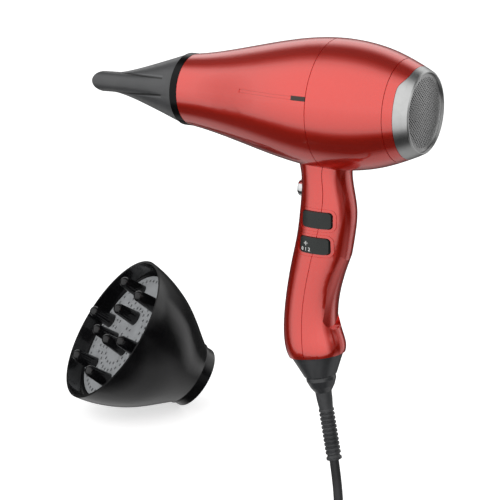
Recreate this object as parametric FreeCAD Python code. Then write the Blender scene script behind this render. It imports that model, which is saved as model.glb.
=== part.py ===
import FreeCAD, Part
import math
import os

# Hand-held hair dryer with a concentrator nozzle on its outlet, a mains cord on a swivel, and a
# diffuser that lies beside it.  Everything is drawn in millimetres from the centre of the air
# outlet: +X runs back along the barrel to the intake, +Z is up, the switches are on the -Y side.
# save() then moves each piece so that the origin lies in the middle of the grip.

V = FreeCAD.Vector

# ---- fits shared by many pieces
FIT = 0.2                  # gap round a piece that slides or snaps into place
RUNNING = 0.05             # radial gap of a shaft in its bearing

# ---- barrel shell: a body of revolution
WALL = 2.2
OUTLET_R = 24.1            # outside radius where the shell meets the outlet ring
BELLY_R = 42.9             # fattest radius
INTAKE_R = 26.6            # radius that the curve runs out to at the rear rim
BARREL_LENGTH = 180.0
BELLY_X = BARREL_LENGTH - 63.0
MID_SEAM_X = BELLY_X - 1.7              # seam between the front and rear shells
REAR_SEAM_X = BARREL_LENGTH - 15.2      # seam between the rear shell and the intake collar
SEAM_GAP = 0.5             # shadow line that a shell leaves at its seam
SEAM_DEPTH = 0.8
NOSE_RISE = [(0.0, 0.0), (0.273, 0.261), (0.547, 0.633), (0.82, 0.936)]
TAIL_FALL = [(0.0, 0.0), (0.302, 0.092), (0.556, 0.307), (0.81, 0.669), (1.0, 1.0)]

# ---- grip: it hangs below the mid seam, and every x on it is counted from GRIP_X
GRIP_X = MID_SEAM_X - 10.3
GRIP_ORIGIN = V(GRIP_X, 0, -107.0)
SECTION_POWER = 2.3
SECTION_POINTS = 24
SWIVEL_TILT = 11.0         # the cord leaves the grip this far from the vertical
# sections as height, centre x, half depth, half width, tilt in degrees
GRIP_SECTIONS = [
    (-30.0, GRIP_X + 1.8, 20.5, 17.0, 0.0),
    (-42.0, GRIP_X + 3.5, 17.2, 16.0, 0.0),
    (-52.0, GRIP_X + 4.3, 16.7, 15.8, 0.0),
    (-70.0, GRIP_X + 5.5, 19.0, 16.0, 0.0),
    (-90.0, GRIP_X + 3.6, 19.6, 16.2, 0.0),
    (-106.0, GRIP_X + 0.4, 20.1, 16.0, 2.0),
    (-125.0, GRIP_X - 4.2, 19.2, 15.5, 4.0),
    (-142.0, GRIP_X - 6.7, 18.9, 15.3, 6.0),
    (-157.0, GRIP_X - 5.8, 20.3, 15.8, 9.0),
    (-166.0, GRIP_X - 3.6, 21.2, 16.3, SWIVEL_TILT),
    (-173.6, GRIP_X - 1.9, 19.8, 15.2, SWIVEL_TILT),
]
GRIP_HALF_WIDTH = 16.0     # where the switches sit
# the seam down the grip's sides as height and x; above it the seam is plane across the barrel
PARTING_LINE = [
    (-36.0, MID_SEAM_X), (-42.0, GRIP_X + 8.4), (-57.0, GRIP_X + 9.2), (-70.0, GRIP_X + 8.4),
    (-84.0, GRIP_X + 5.9), (-100.0, GRIP_X + 1.9), (-118.0, GRIP_X - 2.3), (-134.0, GRIP_X - 5.1),
    (-150.0, GRIP_X - 6.0), (-166.0, GRIP_X - 4.8),
]
# the palm facet on the back of the grip as height, x of its edges and bulge between them
PALM_FACET = [
    (-88.0, GRIP_X + 20.0, 6.0), (-101.0, GRIP_X + 16.9, 5.0), (-113.0, GRIP_X + 13.4, 4.0),
    (-125.0, GRIP_X + 10.4, 3.2), (-134.0, GRIP_X + 8.8, 2.7), (-143.0, GRIP_X + 8.0, 2.5),
    (-156.0, GRIP_X + 8.2, 2.5),
]
PALM_HALF_WIDTH = 11.0
PALM_END_Z = -152.7
PALM_ROUND = 8.0
PALM_EDGE_OVERRUN = 2.5    # the facet runs on this far past the edges, clear of the grip

# the swivel axis starts at the centre of the grip's rim
RIM = V(GRIP_SECTIONS[-1][1], 0, GRIP_SECTIONS[-1][0])
DOWN = V(math.sin(math.radians(SWIVEL_TILT)), 0, -math.cos(math.radians(SWIVEL_TILT)))

# ---- trim line on the switch side of the barrel
TRIM_START_X = MID_SEAM_X - 53.5
TRIM_INSET_LENGTH = 10.4
TRIM_Z = 8.85
TRIM_HEIGHT = 2.9
TRIM_DEPTH = 1.0
TRIM_LINE_HEIGHT = 2.4     # over both of the grooves that run ahead of the inset
GROOVE_WIDTH = 0.5
GROOVE_DEPTH = 0.5

# ---- outlet ring and grille
RING_WIDTH = 5.5
RING_R = 24.8
RING_BORE_R = 22.2
RING_WEB = 1.0
RING_SLEEVE_LENGTH = 8.5
SLEEVE_WALL = 1.4
GRILLE_THICKNESS = 2.0
GRILLE_RIB = 1.2
GRILLE_SPOKES = 6

# ---- heater
HEATER_FRONT_X = 26.0
HEATER_REAR_X = MID_SEAM_X - 7.3
MICA = 1.0
BOARD_FRONT_GAP = 4.0      # the boards stop short of the tube's ends, and the wire of the boards'
BOARD_REAR_GAP = 6.0
COIL_FRONT_GAP = 10.0
COIL_REAR_GAP = 14.0
COIL_COUNT = 9
COIL_WIRE_R = 0.6
THERMOSTAT_LENGTH = 6.0
THERMOSTAT_WIDTH = 8.0
THERMOSTAT_HEIGHT = 4.0
FUSE_R = 1.8
FUSE_LENGTH = 8.0
HEATER_PART_Y = 4.0        # how far the thermostat and the fuse stand off the upright board

# ---- motor and fan
DUCT_REAR_X = REAR_SEAM_X - 1.8
DUCT_WALL = 1.6
FLANGE_THICKNESS = 3.0
FLANGE_SLEEVE_LENGTH = 6.0
CUP_WALL = 1.5
MOTOR_R = 13.1
MOTOR_WALL = 1.0
MOTOR_FRONT_X = MID_SEAM_X + 4.3
MOTOR_REAR_X = MOTOR_FRONT_X + 23.8
BEARING_R = 3.5
BEARING_LENGTH = 2.6
SHAFT_R = 1.5
MAGNET_THICKNESS = 2.4
AIR_GAP = 0.4
VANE_COUNT = 7
VANE_THICKNESS = 1.2
FAN_FRONT_X = MOTOR_REAR_X + 2.6
FAN_LENGTH = 12.0
FAN_HUB_R = 9.5
FAN_BLADES = 9
FAN_PITCH = 38.0
BLADE_THICKNESS = 1.2
TIP_GAP = 0.8
SCREW_R = 1.25
SCREW_LENGTH = 12.0
SCREW_HEAD_R = 2.6
BOSS_R = 4.5
BOSS_WEB = 2.0             # web from each screw boss out to the shell

# ---- intake filter cap
CAP_FRONT_X = BARREL_LENGTH - 5.0       # front edge of the silver ring along its top
SKIRT_FRONT_X = CAP_FRONT_X - 3.8       # and along its sides and underside
SKIRT_DEPTH = 1.1
SKIRT_SHOULDER = (17.0, 26.5)           # heights between which the edge steps back
CAP_RIM_R = 26.4
MESH_R = 25.3
MESH_DOME = 2.6
MESH_THICKNESS = 0.8
MESH_PITCH = 3.8
MESH_HOLE_R = 1.45
SPIGOT_LENGTH = 5.5
GUARD_THICKNESS = 2.0

# ---- rocker switches
ROCKER_LENGTH = 22.4
ROCKER_HEIGHT = 11.0
ROCKER_PROUD = 1.2         # how far the crown stands out of the grip
ROCKER_CROWN = 2.3         # how far its ends drop below the crown
ROCKER_PIVOT_DEPTH = 4.6   # from the grip's side to the pivot
ROCKER_PIN_R = 1.0
SWITCH_BODY_DEPTH = 11.0
EAR_THICKNESS = 1.2
ROCKER_CORNER_R = 2.4
BEZEL_WIDTH = 2.0          # plain band round each rocker, with a fine groove outside it
BEZEL_GROOVE = 0.4
UPPER_ROCKER = (GRIP_X + 5.0, -75.3)
LOWER_ROCKER = (GRIP_X + 3.5, -92.8)

# ---- cold-shot button
BUTTON_Z = -58.6
BUTTON_R = 5.9
BUTTON_PROUD = 4.3
BUTTON_TRAVEL = 2.0
BUTTON_FLANGE = 1.25
STEM_R = 1.8
SPRING_R = 3.4
SPRING_WIRE_R = 0.35
SPRING_COILS = 4
SPRING_LENGTH = 6.0
BUTTON_SWITCH_DEPTH = 5.0

# ---- swivel and strain relief, measured down the swivel axis from the grip's rim
SOCKET_LENGTH = 14.5
SOCKET_END_R = 11.3
SOCKET_PLUG_LENGTH = 12.0
SOCKET_STEP = 1.2          # how far the socket stands in from the rim
STEM_BORE_R = 6.2
BELL_R = 10.3
BELL_LENGTH = 12.0
NECK_R = 5.7
CLIP_R = 8.0
CLIP_THICKNESS = 1.2
SLIP_BLOCK_LENGTH = 12.0
SLEEVE_R = 4.8
SLEEVE_END = 75.0
SLEEVE_RIBS = 11
RIB_HEIGHT = 0.5
SLEEVE_FLANGE_R = 5.4

# ---- cord, coil and plug
CORD_R = 3.3
CORD_HIDDEN = 26.0         # length of cord inside the strain relief
CORD_STRAIGHT = 13.0       # it leaves the strain relief straight for this far
FLOOR_Z = -306.0           # level that the diffuser, the coil and the plug lie on
CORD_REACH = [
    (GRIP_X + 22.0, -9.0, 19.0), (GRIP_X + 30.5, -33.0, CORD_R),
    (GRIP_X + 41.0, -70.0, CORD_R), (GRIP_X + 45.0, -115.0, CORD_R),
]
COIL_MEAN_R = 42.0
COIL_WIDTH = 28.0
COIL_HEIGHT = 21.0
COIL_ROUND = 8.0
TIE_WIDTH = 12.0
TIE_THICKNESS = 1.2
TAIL_LENGTH = 84.0
PLUG_RELIEF_LENGTH = 24.0
PLUG_LENGTH = 38.0
PLUG_WIDTH = 35.0
PLUG_HEIGHT = 26.0
PLUG_ROUND = 6.0
PLUG_SHOULDER = 12.0
PIN_R = 2.4
PIN_LENGTH = 19.0
PIN_SPACING = 19.0
LEAD_R = 1.2
LEAD_HEIGHTS = (-136.0, -120.0, -103.0, -84.0, -63.0)

# ---- concentrator nozzle, measured forward from the outlet
NOZZLE_LENGTH = 65.5
NOZZLE_R = 24.3
NOZZLE_WALL = 1.8
NOZZLE_TIP_HALF_WIDTH = 24.5
STRIP_HALF_BASE = 5.5      # half height of the side strip at the base
STRIP_HALF_TIP = 7.2
NOZZLE_SLOPE_SHARE = 0.78  # share of the length over which the cone slopes
NOZZLE_TURN = -9.5         # degrees that the slot stands turned about the barrel
SLOT_HALF_WIDTH = 20.0
SLOT_HALF_HEIGHT = 3.0
CLIP_RING_R = 21.9
CLIP_RING_WALL = 1.5
CLIP_RING_FRONT = 2.5      # how far the clip ring reaches into the nozzle

# ---- diffuser, measured from its mouth back to its neck
DIFFUSER_PROFILE = [
    (0.0, 64.8), (15.0, 62.4), (28.0, 58.6), (42.0, 52.8), (57.0, 44.0), (71.0, 34.3), (79.0, 28.9),
]
DIFFUSER_WALL = 2.2
DIFFUSER_MOUTH = V(-160.5, 117.7, -232.4)
DIFFUSER_AIM = V(-0.501, -0.6416, 0.5808)
DIFFUSER_NECK_LENGTH = 8.0
DIFFUSER_COLLAR_WALL = 2.4
PLATE_DEPTH = 13.0
PLATE_R = 57.0
PLATE_THICKNESS = 1.5
PLATE_HOLE_R = 1.4
PLATE_HOLE_PITCH = 6.5
PLATE_HOLE_RINGS = (7.0, 26.0, 32.5, 39.0, 52.5)
LEDGE_LENGTH = 3.5
FINGER_R = 6.4
FINGER_TIP_R = 4.7
FINGER_LENGTH = 22.0
OUTER_FINGERS = 6
OUTER_FINGER_RING_R = 42.6
OUTER_FINGER_START = 53.0
INNER_FINGERS = 3
INNER_FINGER_RING_R = 17.0
INNER_FINGER_START = 24.2


# ---------------------------------------------------------------- shared helpers

def lathe(points):
    """Solid turned about the X axis from a closed outline of (x, radius) points."""
    corners = [V(x, 0, r) for x, r in points]
    outline = Part.makePolygon(corners + [corners[0]])
    return Part.Face(outline).revolve(V(0, 0, 0), V(1, 0, 0), 360)


def tube(x0, x1, outer, inner):
    return lathe([(x0, inner), (x0, outer), (x1, outer), (x1, inner)])


def rod(x0, x1, radius):
    return Part.makeCylinder(radius, x1 - x0, V(x0, 0, 0), V(1, 0, 0))


def box(x0, x1, y0, y1, z0, z1):
    return Part.makeBox(x1 - x0, y1 - y0, z1 - z0, V(x0, y0, z0))


def polar(radius, degrees):
    """Point on a circle about the X axis; 0 degrees is +Y and 90 is +Z."""
    angle = math.radians(degrees)
    return V(0, radius * math.cos(angle), radius * math.sin(angle))


def around(shape, count, start=0.0):
    """Copies of a shape spread evenly about the X axis."""
    copies = []
    for i in range(count):
        copy = shape.copy()
        copy.rotate(V(0, 0, 0), V(1, 0, 0), start + 360.0 * i / count)
        copies.append(copy)
    return copies


def placed(shape, origin, direction):
    """Shape drawn along X from 0, moved so that it starts at origin and runs along direction."""
    copy = shape.copy()
    turn = FreeCAD.Rotation(V(1, 0, 0), direction)
    copy.Placement = FreeCAD.Placement(origin, turn).multiply(copy.Placement)
    return copy


def smooth_curve(points):
    curve = Part.BSplineCurve()
    curve.interpolate(points)
    return curve


def turned_under(curve):
    """Solid turned about the X axis under a curve of x and radius."""
    start = curve.StartPoint
    end = curve.EndPoint
    foot = V(end.x, 0, 0)
    heel = V(start.x, 0, 0)
    edges = [curve.toShape(), Part.makeLine(end, foot)]
    edges += [Part.makeLine(foot, heel), Part.makeLine(heel, start)]
    return Part.Face(Part.Wire(edges)).revolve(V(0, 0, 0), V(1, 0, 0), 360)


def slab(x0, x1):
    """Block between two planes across the barrel, wider than anything in it."""
    reach = 6 * BELLY_R
    return box(x0, x1, -reach, reach, -reach, reach)


def save(name, shape):
    moved = shape.copy()
    moved.translate(-GRIP_ORIGIN)
    moved.exportStep("parts/" + name + ".step")
    print(name, "solids", len(moved.Solids), "volume", round(moved.Volume, 1), "valid", moved.isValid())


# ---------------------------------------------------------------- housing

def barrel_curve(inset):
    points = []
    for along, rise in NOSE_RISE:
        points.append(V(along * BELLY_X, 0, OUTLET_R + rise * (BELLY_R - OUTLET_R) - inset))
    for along, fall in TAIL_FALL:
        x = BELLY_X + along * (BARREL_LENGTH - BELLY_X)
        points.append(V(x, 0, BELLY_R - fall * (BELLY_R - INTAKE_R) - inset))
    return smooth_curve(points)


OUTSIDE = barrel_curve(0)


def barrel_radius(x):
    """Outside radius of the barrel at a station."""
    low = OUTSIDE.FirstParameter
    high = OUTSIDE.LastParameter
    for step in range(40):
        middle = (low + high) / 2
        if OUTSIDE.value(middle).x < x:
            low = middle
        else:
            high = middle
    return OUTSIDE.value(low).z


def bore_radius(x):
    return barrel_radius(x) - WALL


def grip_section(section, inset):
    z, x, half_depth, half_width, tilt = section
    back = V(math.cos(math.radians(tilt)), 0, math.sin(math.radians(tilt)))
    points = []
    for i in range(SECTION_POINTS):
        angle = 2 * math.pi * i / SECTION_POINTS
        u = math.copysign(abs(math.cos(angle)) ** (2 / SECTION_POWER), math.cos(angle))
        v = math.copysign(abs(math.sin(angle)) ** (2 / SECTION_POWER), math.sin(angle))
        points.append(V(x, 0, z) + back * (u * (half_depth - inset)) + V(0, v * (half_width - inset), 0))
    curve = Part.BSplineCurve()
    curve.interpolate(points, PeriodicFlag=True)
    return Part.Wire(curve.toShape())


def grip_solid(inset):
    return Part.makeLoft([grip_section(section, inset) for section in GRIP_SECTIONS], True)


def grip_centre(z):
    """Centre x of the grip at a height, between its sections."""
    for upper, lower in zip(GRIP_SECTIONS, GRIP_SECTIONS[1:]):
        if lower[0] <= z <= upper[0]:
            share = (upper[0] - z) / (upper[0] - lower[0])
            return upper[1] + share * (lower[1] - upper[1])
    raise ValueError("height is outside the grip")


def palm_region(clearance):
    """Space behind the palm facet, down to its rounded end; clearance widens it on all sides."""
    sections = []
    for z, edge_x, bulge in PALM_FACET:
        radius = (PALM_HALF_WIDTH ** 2 + bulge ** 2) / (2 * bulge)
        reach = min(PALM_HALF_WIDTH + 2 * clearance + PALM_EDGE_OVERRUN, radius)
        crown = edge_x + bulge - clearance
        side = crown - radius + math.sqrt(radius ** 2 - reach ** 2)
        far = edge_x + BELLY_R
        arc = Part.Arc(V(side, -reach, z), V(crown, 0, z), V(side, reach, z)).toShape()
        corners = [V(side, reach, z), V(far, reach, z), V(far, -reach, z), V(side, -reach, z)]
        lines = [Part.makeLine(a, b) for a, b in zip(corners, corners[1:])]
        sections.append(Part.Wire([arc] + lines))
    region = Part.makeLoft(sections, True)
    half = PALM_HALF_WIDTH + clearance
    bottom = PALM_END_Z - clearance
    slot = box(0, 2 * BARREL_LENGTH, -half, half, bottom, PALM_FACET[0][0])
    ends = [edge for edge in slot.Edges if edge.BoundBox.YLength < FIT and edge.BoundBox.ZMax < bottom + FIT]
    return region.common(slot.makeFillet(PALM_ROUND + clearance, ends))


GRIP_OUTSIDE = grip_solid(0).cut(palm_region(0))
GRIP_INSIDE = grip_solid(WALL).cut(palm_region(WALL))


def grip_side(solid, x, z):
    """Distance from the middle plane to the side of a grip solid at one place."""
    return Part.makeLine(V(x, 0, z), V(x, 4 * BELLY_R, z)).common(solid).BoundBox.YMax


def grip_front(solid, y, z):
    """X of the front face of a grip solid at one place."""
    return Part.makeLine(V(-BELLY_R, y, z), V(grip_centre(z), y, z)).common(solid).BoundBox.XMin


def front_region():
    """Everything ahead of the seam, which runs down the barrel and then the middle of the grip."""
    far = 4 * BELLY_R
    line = [V(x, 0, z) for z, x in PARTING_LINE]
    line.append(V(RIM.x, 0, RIM.z - SOCKET_PLUG_LENGTH))
    seam = smooth_curve(line)
    bottom = line[-1]
    corners = [bottom, V(-far, 0, bottom.z), V(-far, 0, far), V(MID_SEAM_X, 0, far), line[0]]
    edges = [seam.toShape()]
    for start, end in zip(corners, corners[1:]):
        edges.append(Part.makeLine(start, end))
    face = Part.Face(Part.Wire(edges))
    face.translate(V(0, -far, 0))
    return face.extrude(V(0, 2 * far, 0))


def housing_shell():
    outside = barrel_solid(0).fuse(GRIP_OUTSIDE)
    inside = barrel_solid(WALL).fuse(GRIP_INSIDE)
    return outside.cut(inside)


def barrel_solid(inset):
    return turned_under(barrel_curve(inset))


def trim_pocket(height, depth, x0, x1):
    """Part of the barrel's skin in a band along its switch side."""
    band = box(x0, x1, -2 * BELLY_R, 0, TRIM_Z - height / 2, TRIM_Z + height / 2)
    skin = barrel_solid(0).cut(barrel_solid(depth))
    return skin.common(band)


def screw_places():
    radius = duct_radius() + FIT + BOSS_R
    return [polar(radius, 45 + 90 * i) for i in range(4)]


def screw_bosses():
    """Bosses for the motor mount's screws, each on a web out to the shell."""
    start = MID_SEAM_X - FLANGE_THICKNESS - SCREW_LENGTH
    end = start + SCREW_LENGTH
    radius = screw_places()[0].Length
    reach = max(radius, bore_radius(start)) + WALL / 2
    post = Part.makeCylinder(BOSS_R, SCREW_LENGTH, V(start, radius, 0), V(1, 0, 0))
    web = box(start, end, radius, reach, -BOSS_WEB / 2, BOSS_WEB / 2)
    hole = Part.makeCylinder(SCREW_R, SCREW_LENGTH, V(start, radius, 0), V(1, 0, 0))
    return around(post.fuse(web).cut(hole), 4, 45)


def rocker_window(place, clearance):
    """Round-cornered block across the grip's side, this much larger than a rocker all round."""
    x, z = place
    half = ROCKER_LENGTH / 2 + clearance
    tall = ROCKER_HEIGHT / 2 + clearance
    block = box(x - half, x + half, -3 * WALL - GRIP_HALF_WIDTH, -GRIP_HALF_WIDTH / 2, z - tall, z + tall)
    corners = [edge for edge in block.Edges if edge.BoundBox.YLength > WALL]
    return block.makeFillet(ROCKER_CORNER_R + clearance, corners)


def bezel_groove(place):
    """Fine groove in the grip's skin round a rocker's plain band."""
    skin = grip_solid(0).cut(grip_solid(BEZEL_GROOVE))
    ring = rocker_window(place, BEZEL_WIDTH + BEZEL_GROOVE).cut(rocker_window(place, BEZEL_WIDTH))
    return skin.common(ring)


def trim_line():
    """Two fine grooves, joined at the front, that run along the barrel to the trim inset."""
    end = MID_SEAM_X - TRIM_INSET_LENGTH
    inner = TRIM_LINE_HEIGHT - 2 * GROOVE_WIDTH
    outline = trim_pocket(TRIM_LINE_HEIGHT, GROOVE_DEPTH, TRIM_START_X, end)
    return outline.cut(trim_pocket(inner, 2 * GROOVE_DEPTH, TRIM_START_X + GROOVE_WIDTH, end))


def seam_groove(ahead):
    """Skin just behind the mid seam, taken off the rear shell so that the seam shows."""
    inner = barrel_solid(SEAM_DEPTH).fuse(grip_solid(SEAM_DEPTH).cut(palm_region(SEAM_DEPTH)))
    skin = barrel_solid(0).fuse(GRIP_OUTSIDE).cut(inner)
    band = ahead.copy()
    band.translate(V(SEAM_GAP, 0, 0))
    return skin.common(band)


def housing_halves():
    shell = housing_shell()
    hole_length = 2 * BUTTON_R + WALL
    button_hole = Part.makeCylinder(BUTTON_R + FIT, hole_length, V(BUTTON_START_X, 0, BUTTON_Z), V(1, 0, 0))
    cuts = [button_hole]
    for place in (UPPER_ROCKER, LOWER_ROCKER):
        cuts += [rocker_window(place, FIT), bezel_groove(place)]
    shell = shell.cut(cuts)
    ahead = front_region()
    front = shell.common(ahead).common(slab(RING_WIDTH, BARREL_LENGTH)).cut([trim_line(), trim_inset()])
    front = front.fuse(screw_bosses())
    front = front.cut(shell_outside_cutter())
    rear = shell.cut(ahead).common(slab(RING_WIDTH, REAR_SEAM_X)).cut(seam_groove(ahead))
    return front.removeSplitter(), rear


def shell_outside_cutter():
    """Space outside the barrel near the screw bosses, so that no boss pokes through the skin."""
    start = MID_SEAM_X - FLANGE_THICKNESS - SCREW_LENGTH
    block = tube(start, MID_SEAM_X, 2 * BELLY_R, bore_radius(start))
    return block.cut(barrel_solid(0)).cut(GRIP_OUTSIDE)


def trim_inset():
    return trim_pocket(TRIM_HEIGHT, TRIM_DEPTH, MID_SEAM_X - TRIM_INSET_LENGTH, MID_SEAM_X)


def skirt_region(clearance):
    """Outer half of the collar wall behind the skirt's edge, which steps back near the top."""
    skin = barrel_solid(-WALL).cut(barrel_solid(SKIRT_DEPTH + clearance))
    reach = 2 * BELLY_R
    low, high = SKIRT_SHOULDER
    middle = (low + high) / 2
    front = SKIRT_FRONT_X - clearance
    top = CAP_FRONT_X - clearance
    end = CAP_FRONT_X + WALL
    step = Part.BezierCurve()
    step.setPoles([V(front, 0, low + clearance), V(front, 0, middle + clearance),
                   V(top, 0, middle + clearance), V(top, 0, high + clearance)])
    corners = [V(top, 0, high + clearance), V(top, 0, reach), V(end, 0, reach), V(end, 0, -reach),
               V(front, 0, -reach), V(front, 0, low + clearance)]
    edges = [step.toShape()]
    for a, b in zip(corners, corners[1:]):
        edges.append(Part.makeLine(a, b))
    face = Part.Face(Part.Wire(edges))
    face.translate(V(0, -reach, 0))
    return skin.common(face.extrude(V(0, 2 * reach, 0)))


def intake_collar():
    ring = barrel_solid(0).cut(barrel_solid(WALL)).common(slab(REAR_SEAM_X, CAP_FRONT_X - FIT))
    seam = barrel_solid(0).cut(barrel_solid(SEAM_DEPTH)).common(slab(REAR_SEAM_X, REAR_SEAM_X + SEAM_GAP))
    return ring.cut([skirt_region(FIT), seam])


# ---------------------------------------------------------------- outlet

def outlet_ring():
    sleeve_r = bore_radius(RING_WIDTH) - FIT
    inner = sleeve_r - SLEEVE_WALL
    end = RING_WIDTH + RING_SLEEVE_LENGTH
    web = RING_WIDTH - RING_WEB
    outline = [(0, RING_BORE_R), (0, RING_R), (RING_WIDTH, RING_R), (RING_WIDTH, sleeve_r)]
    outline += [(end, sleeve_r), (end, inner), (web, inner), (web, RING_BORE_R)]
    return lathe(outline)


def ring_grille(x, radius, thickness):
    """Flat grille of three rings on straight spokes."""
    pieces = []
    for share in (1.0, 0.66, 0.33):
        outer = share * radius
        pieces.append(tube(x, x + thickness, outer, outer - GRILLE_RIB))
    inner = 0.33 * radius - GRILLE_RIB / 2
    spoke = box(x, x + thickness, inner, radius - GRILLE_RIB / 2, -GRILLE_RIB / 2, GRILLE_RIB / 2)
    pieces += around(spoke, GRILLE_SPOKES)
    return pieces[0].fuse(pieces[1:]).removeSplitter()


def outlet_grille():
    radius = bore_radius(RING_WIDTH) - FIT - SLEEVE_WALL - FIT / 2
    return ring_grille(RING_WIDTH + RING_SLEEVE_LENGTH - 2 * GRILLE_THICKNESS, radius, GRILLE_THICKNESS)


# ---------------------------------------------------------------- heater

def heater_radius():
    return bore_radius(HEATER_FRONT_X) - FIT


def heater_tube():
    return tube(HEATER_FRONT_X, HEATER_REAR_X, heater_radius(), heater_radius() - MICA)


def heater_boards():
    """Two mica boards crossed at right angles, notched where the wire is wound."""
    reach = heater_radius() - MICA - FIT
    x0 = HEATER_FRONT_X + BOARD_FRONT_GAP
    x1 = HEATER_REAR_X - BOARD_REAR_GAP
    upright = box(x0, x1, -MICA / 2, MICA / 2, -reach, reach)
    level = box(x0, x1, -reach, reach, -MICA / 2, MICA / 2)
    cross = upright.fuse(level)
    grooves = []
    for x in coil_places():
        grooves.append(tube(x - 2 * COIL_WIRE_R, x + 2 * COIL_WIRE_R, reach + 1, reach - 4 * COIL_WIRE_R))
    return cross.cut(grooves).removeSplitter()


def coil_places():
    x0 = HEATER_FRONT_X + COIL_FRONT_GAP
    x1 = HEATER_REAR_X - COIL_REAR_GAP
    return [x0 + i * (x1 - x0) / (COIL_COUNT - 1) for i in range(COIL_COUNT)]


def heater_coil():
    """Resistance wire wound round the boards, one hoop in each notch."""
    radius = heater_radius() - MICA - FIT - 3 * COIL_WIRE_R + RUNNING
    hoops = []
    for x in coil_places():
        hoops.append(Part.makeTorus(radius, COIL_WIRE_R, V(x, 0, 0), V(1, 0, 0)))
    return Part.makeCompound(hoops)


def thermostat():
    """Bimetal thermostat standing on the level board."""
    x = (coil_places()[-2] + coil_places()[-1]) / 2
    half = THERMOSTAT_LENGTH / 2
    y = HEATER_PART_Y
    return box(x - half, x + half, y, y + THERMOSTAT_WIDTH, MICA / 2, MICA / 2 + THERMOSTAT_HEIGHT)


def thermal_fuse():
    """Glass-bodied fuse lying on the level board."""
    x = (coil_places()[1] + coil_places()[2]) / 2
    start = V(x, -HEATER_PART_Y - FUSE_LENGTH, MICA / 2 + FUSE_R)
    return Part.makeCylinder(FUSE_R, FUSE_LENGTH, start, V(0, 1, 0))


# ---------------------------------------------------------------- motor and fan

def duct_radius():
    return bore_radius(DUCT_REAR_X) - FIT


def motor_mount():
    """Air duct with a clamped flange, a sleeve for the heater tube, and vanes that hold the cup."""
    outer = duct_radius()
    inner = outer - DUCT_WALL
    flange_r = bore_radius(MID_SEAM_X - FLANGE_THICKNESS) - FIT
    flange_x = MID_SEAM_X - FLANGE_THICKNESS
    seat = heater_radius() + FIT
    sleeve_x = flange_x - FLANGE_THICKNESS
    front_x = sleeve_x - FLANGE_SLEEVE_LENGTH
    outline = [(front_x, seat + DUCT_WALL), (sleeve_x, seat + DUCT_WALL), (flange_x, outer)]
    outline += [(flange_x, flange_r), (MID_SEAM_X, flange_r), (MID_SEAM_X, outer), (DUCT_REAR_X, outer)]
    outline += [(DUCT_REAR_X, inner), (flange_x + DUCT_WALL, inner), (sleeve_x + DUCT_WALL, seat)]
    outline += [(front_x, seat)]
    duct = lathe(outline)
    cup_r = MOTOR_R + FIT + CUP_WALL
    cup_x = MOTOR_FRONT_X - CUP_WALL
    cup = tube(cup_x, MOTOR_REAR_X, cup_r, MOTOR_R + FIT / 2)
    cup = cup.fuse(tube(cup_x, MOTOR_FRONT_X, cup_r - FIT, BEARING_R + FIT))
    vane = box(cup_x + 2, MOTOR_REAR_X - 5, cup_r - CUP_WALL / 2, inner + DUCT_WALL / 2,
               -VANE_THICKNESS / 2, VANE_THICKNESS / 2)
    body = duct.fuse([cup] + around(vane, VANE_COUNT, 90))
    holes = []
    for place in screw_places():
        start = V(flange_x - 1, 0, 0) + place
        holes.append(Part.makeCylinder(SCREW_R + FIT, FLANGE_THICKNESS + 2, start, V(1, 0, 0)))
    return body.cut(holes)


def motor_mount_screws():
    start = MID_SEAM_X - FLANGE_THICKNESS - SCREW_LENGTH + 1
    screws = []
    for place in screw_places():
        shank = Part.makeCylinder(SCREW_R, MID_SEAM_X - start, V(start, 0, 0) + place, V(1, 0, 0))
        head = Part.makeCylinder(SCREW_HEAD_R, 1.6, V(MID_SEAM_X, 0, 0) + place, V(1, 0, 0))
        screws.append(shank.fuse(head))
    return Part.makeCompound(screws)


def motor_can():
    wall = MOTOR_WALL
    front = MOTOR_FRONT_X
    rear = MOTOR_REAR_X - wall
    outline = [(front, BEARING_R), (front, MOTOR_R), (rear, MOTOR_R), (rear, MOTOR_R - wall)]
    outline += [(front + wall, MOTOR_R - wall), (front + wall, BEARING_R)]
    return lathe(outline)


def motor_end_cap():
    return tube(MOTOR_REAR_X - MOTOR_WALL, MOTOR_REAR_X, MOTOR_R, BEARING_R)


def motor_bearings():
    front = tube(MOTOR_FRONT_X, MOTOR_FRONT_X + BEARING_LENGTH, BEARING_R, SHAFT_R + RUNNING)
    rear = tube(MOTOR_REAR_X - BEARING_LENGTH, MOTOR_REAR_X, BEARING_R, SHAFT_R + RUNNING)
    return Part.makeCompound([front, rear])


def magnet_bore():
    return MOTOR_R - MOTOR_WALL - MAGNET_THICKNESS


def motor_magnets():
    """Two curved magnets against the inside of the can."""
    ring = tube(MOTOR_FRONT_X + 4, MOTOR_REAR_X - 5, MOTOR_R - MOTOR_WALL, magnet_bore())
    return ring.cut(box(MOTOR_FRONT_X, MOTOR_REAR_X, -MOTOR_R, MOTOR_R, -2, 2))


def armature():
    """Laminated stack with winding slots, pressed on the shaft."""
    stack = tube(MOTOR_FRONT_X + 5, MOTOR_REAR_X - 6, magnet_bore() - AIR_GAP, SHAFT_R)
    slot = box(MOTOR_FRONT_X, MOTOR_REAR_X, magnet_bore() - 4, magnet_bore(), -1, 1)
    return stack.cut(around(slot, 5))


def motor_shaft():
    return rod(MOTOR_FRONT_X - CUP_WALL - 2, FAN_FRONT_X + FAN_LENGTH, SHAFT_R)


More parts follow.
